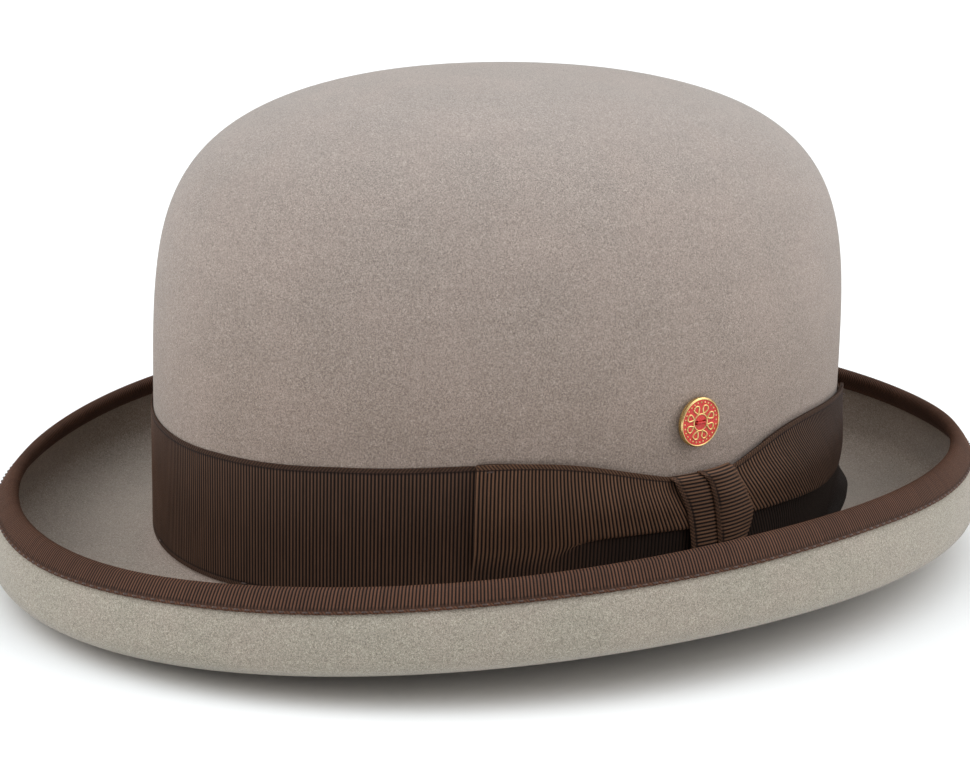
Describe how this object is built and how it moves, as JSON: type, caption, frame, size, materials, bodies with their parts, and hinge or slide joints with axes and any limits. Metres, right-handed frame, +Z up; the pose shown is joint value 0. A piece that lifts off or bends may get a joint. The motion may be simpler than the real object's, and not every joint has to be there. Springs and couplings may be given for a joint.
{
  "type": "bowler hat",
  "caption": "Stiff felt bowler hat with a round dome crown, curled and bound brim, ribbon band with a flat side bow, round button, leather sweatband and satin lining.",
  "frame": {"origin": "middle of the hat on the surface it rests on", "axes": "+Z up through the crown, -Y towards the front of the hat, +X towards the wearer's left, where the bow is"},
  "size_m": [0.2464, 0.2994, 0.1371],
  "materials": {
    "felt": "brushed fur felt",
    "ribbon": "ribbed grosgrain",
    "binding": "ribbed grosgrain",
    "ribbon_thread": "sewing thread",
    "gilt": "polished gilt",
    "enamel": "glossy red enamel",
    "red_thread": "sewing thread",
    "leather": "smooth brown leather",
    "sweatband_thread": "sewing thread",
    "tape": "woven tape",
    "reed": "smooth",
    "satin": "satin",
    "label": "coated paper"
  },
  "bodies": {
    "hat": {"felt_body": "felt", "hatband": "ribbon", "hatband_tacks": "ribbon_thread", "bow_front_loop": "ribbon", "bow_rear_wing": "ribbon", "bow_knot": "ribbon", "bow_tacks": "ribbon_thread", "brim_binding": "binding", "binding_stitches": "ribbon_thread", "button_thread": "red_thread", "sweatband": "leather", "sweatband_reed": "reed", "reed_tape": "tape", "sweatband_stitches": "sweatband_thread", "sweatband_splice": "tape", "sweatband_bow": "tape", "lining_side": "satin", "lining_tip": "satin", "lining_piping": "satin", "size_label": "label"},
    "button": {"button_disc": "gilt", "button_enamel": "enamel"}
  },
  "joints": [
    {"name": "button_turn", "type": "hinge", "parent": "hat", "child": "button", "pos_m": [0.08669, -0.003, 0.0563], "axis": [1, 0, 0], "range_deg": [-10, 10], "stiffness_Nm_per_rad": 0.001}
  ]
}
